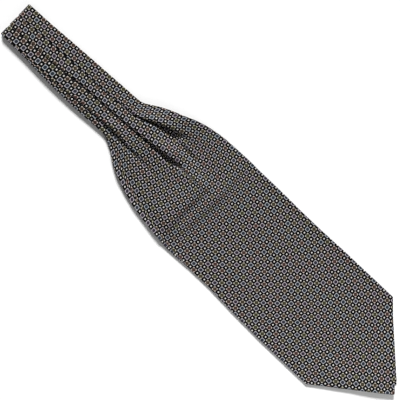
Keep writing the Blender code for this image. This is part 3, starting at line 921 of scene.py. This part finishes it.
def makePrintGroup():
    tone = printRepeat
    tree, given, wanted = newGroup(
        "silkSquares",
        (("Cloth Place", "NodeSocketVector", None), ("Repeat", "NodeSocketFloat", tone["repeat"] * mm),
         ("Colour Drift", "NodeSocketFloat", silkFinish["colourDrift"])),
        (("Colour", "NodeSocketColor"),))
    squareWidth = nodeMath(tree, "MULTIPLY", given["Repeat"], 0.5)
    placeU, placeV = placeInSteps(tree, given["Cloth Place"], squareWidth)
    roundU = nodeMath(tree, "ROUND", placeU)
    roundV = nodeMath(tree, "ROUND", placeV)
    offU = nodeMath(tree, "ABSOLUTE", nodeMath(tree, "SUBTRACT", placeU, roundU))
    offV = nodeMath(tree, "ABSOLUTE", nodeMath(tree, "SUBTRACT", placeV, roundV))
    isColoured = nodeMath(tree, "PINGPONG", nodeMath(tree, "ADD", roundU, roundV), 1.0)
    isBlack = nodeMath(tree, "SUBTRACT", 1.0, isColoured)
    isBrown = nodeMath(tree, "PINGPONG", roundV, 1.0)
    squareReach = nodeMath(tree, "MAXIMUM", offU, offV)
    roundReach = superDistance(tree, offU, offV, tone["roundPower"])
    diamondReach = superDistance(tree, offU, offV, tone["diamondPower"])
    dotReach = superDistance(tree, offU, offV, tone["dotPower"])
    ids = tree.nodes.new("ShaderNodeCombineXYZ")
    tree.links.new(roundU, ids.inputs[0])
    tree.links.new(roundV, ids.inputs[1])
    chance = tree.nodes.new("ShaderNodeTexWhiteNoise")
    chance.noise_dimensions = "2D"
    tree.links.new(ids.outputs[0], chance.inputs["Vector"])
    drift = tree.nodes.new("ShaderNodeTexNoise")
    drift.noise_dimensions = "2D"
    tree.links.new(ids.outputs[0], drift.inputs["Vector"])
    drift.inputs["Scale"].default_value = tone["driftScale"]
    drift.inputs["Detail"].default_value = tone["driftDetail"]
    hue = nodeMath(tree, "ADD", nodeMath(tree, "MULTIPLY", chance.outputs["Value"], tone["chanceShare"]),
                   nodeMath(tree, "MULTIPLY", drift.outputs[0], tone["driftShare"]))
    hue = nodeMath(tree, "MULTIPLY", nodeRamp(tree, hue, *tone["hueSpan"]), given["Colour Drift"])
    blueHeart = nodeMix(tree, hue, *tone["blueHearts"])
    blueRing = nodeMix(tree, hue, *tone["blueRings"])
    brownHeart = nodeMix(tree, hue, *tone["brownHearts"])
    brownRing = nodeMix(tree, hue, *tone["brownRings"])
    blueSquare = nodeMix(tree, nodeRamp(tree, roundReach, *tone["roundHeart"]), blueHeart, blueRing)
    brownSquare = nodeMix(tree, nodeRamp(tree, diamondReach, *tone["diamondHeart"]), brownHeart, brownRing)
    square = nodeMix(tree, isBrown, blueSquare, brownSquare)
    edge = nodeRamp(tree, squareReach, *tone["squareEdge"])
    inSquare = nodeMath(tree, "MULTIPLY", isColoured, nodeMath(tree, "SUBTRACT", 1.0, edge))
    ground = nodeMix(tree, inSquare, tone["groundColour"], square)
    outsideDot = nodeRamp(tree, dotReach, tone["dotRadius"] - tone["dotSoftness"],
                          tone["dotRadius"] + tone["dotSoftness"])
    dot = nodeMath(tree, "MULTIPLY", isBlack, nodeMath(tree, "SUBTRACT", 1.0, outsideDot))
    tree.links.new(nodeMix(tree, dot, ground, tone["dotColour"]), wanted["Colour"])
    return tree


def makeWeaveGroup():
    tree, given, wanted = newGroup(
        "silkTwill",
        (("Cloth Place", "NodeSocketVector", None), ("Thread", "NodeSocketFloat", silkWeave["thread"])),
        (("Height", "NodeSocketFloat"),))
    placeU, placeV = placeInSteps(tree, given["Cloth Place"], given["Thread"])
    slanted = nodeMath(tree, "ADD", placeU, nodeMath(tree, "MULTIPLY", placeV, silkWeave["twillSlope"]))
    twill = nodeMath(tree, "SINE", nodeMath(tree, "MULTIPLY", slanted, 2 * pi))
    weft = nodeMath(tree, "SINE", nodeMath(tree, "MULTIPLY", placeV, 2 * pi))
    height = nodeMath(tree, "ADD", nodeMath(tree, "MULTIPLY", twill, silkWeave["twillHeight"]),
                      nodeMath(tree, "MULTIPLY", weft, silkWeave["weftHeight"]))
    tree.links.new(nodeMath(tree, "ADD", height, silkWeave["meanHeight"]), wanted["Height"])
    return tree


def silkMaterial(name, printGroup, weaveGroup):
    material = bpy.data.materials.new(name)
    material.use_nodes = True
    tree = material.node_tree
    shader = tree.nodes["Principled BSDF"]
    place = tree.nodes.new("ShaderNodeUVMap")
    place.uv_map = "clothPlace"
    squares = tree.nodes.new("ShaderNodeGroup")
    squares.node_tree = printGroup
    weave = tree.nodes.new("ShaderNodeGroup")
    weave.node_tree = weaveGroup
    for group in (squares, weave):
        tree.links.new(place.outputs[0], group.inputs["Cloth Place"])
    squares.inputs["Repeat"].default_value = printRepeat["repeat"] * mm
    squares.inputs["Colour Drift"].default_value = silkFinish["colourDrift"]
    tree.links.new(squares.outputs["Colour"], shader.inputs["Base Color"])
    bump = tree.nodes.new("ShaderNodeBump")
    bump.inputs["Strength"].default_value = silkFinish["bump"]
    bump.inputs["Distance"].default_value = silkFinish["bumpHeight"]
    tree.links.new(weave.outputs["Height"], bump.inputs["Height"])
    tree.links.new(bump.outputs["Normal"], shader.inputs["Normal"])
    for socket, value in silkFinish["shader"].items():
        shader.inputs[socket].default_value = value
    return material


def aimLamp(lamp, direction):
    lamp.rotation_euler = direction.to_track_quat("Z", "Y").to_euler()      # the light comes from there


def buildFloor():
    reach = studio["floorReach"]
    corners = [(-reach, -reach, 0), (reach, -reach, 0), (reach, reach, 0), (-reach, reach, 0)]
    mesh = bpy.data.meshes.new("floor")
    mesh.from_pydata(corners, [], [(0, 1, 2, 3)])
    floor = linkObject("floor", mesh)
    floor.location.z = -studio["floorDrop"]
    paper = bpy.data.materials.new("paper")
    paper.use_nodes = True
    shader = paper.node_tree.nodes["Principled BSDF"]
    shader.inputs["Base Color"].default_value = (*studio["floorColour"], 1.0)
    for socket, value in studio["floorShader"].items():
        shader.inputs[socket].default_value = value
    mesh.materials.append(paper)


def buildLights():
    world = bpy.data.worlds.new("studioAir")
    bpy.context.scene.world = world
    world.use_nodes = True
    background = world.node_tree.nodes["Background"]
    background.inputs["Color"].default_value = (1.0, 1.0, 1.0, 1.0)
    background.inputs["Strength"].default_value = studio["worldStrength"]

    key = bpy.data.lights.new("keyLight", "SUN")
    key.energy = studio["keyStrength"]
    key.angle = radians(studio["keySoftness"])
    height = radians(studio["keyHeight"])
    aside = Vector((*studio["keyFrom"], 0.0)).normalized() * cos(height)
    keyLight = linkObject("keyLight", key)
    keyLight.location = (aside.x, aside.y, sin(height))
    aimLamp(keyLight, keyLight.location)

    fill = bpy.data.lights.new("fillLight", "AREA")
    fill.energy = studio["fillPower"]
    fill.size = studio["fillSize"]
    fillLight = linkObject("fillLight", fill)
    fillLight.location = studio["fillFrom"]
    fillLight.visible_camera = False
    aimLamp(fillLight, Vector(studio["fillFrom"]) - Vector(studio["fillTo"]))


def buildCamera():
    lens = bpy.data.cameras.new("camera")
    lens.lens = studio["lensLength"]
    lens.sensor_width = studio["sensorWidth"]
    camera = linkObject("camera", lens)
    right = Vector((*studio["pictureRight"], 0.0)).normalized()
    back = Vector((0, 0, 1))    # straight down, turned about the line of sight
    turned = Matrix((right, back.cross(right), back)).transposed().to_4x4()
    distance = studio["frameWidth"] * mm * lens.lens / lens.sensor_width + studio["focusHeight"]
    place = (studio["lookAt"][0] * mm, studio["lookAt"][1] * mm, distance)
    camera.matrix_world = Matrix.Translation(place) @ turned
    bpy.context.scene.camera = camera
    bpy.context.scene.view_settings.view_transform = "Standard"


print("cad box", [round(corner / mm, 1) for corner in (*cadBox[0], *cadBox[1])])
printGroup = makePrintGroup()
weaveGroup = makeWeaveGroup()
for half, isBack in ((frontHalf, False), (backHalf, True)):
    piece = buildHalf(half, isBack)
    piece.data.materials.append(silkMaterial(half["name"] + "Silk", printGroup, weaveGroup))
    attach(piece, "root")
    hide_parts(*half["replaces"])
    print("built", half["name"], len(piece.data.polygons))
buildFloor()
buildLights()
buildCamera()
print("studio ready")
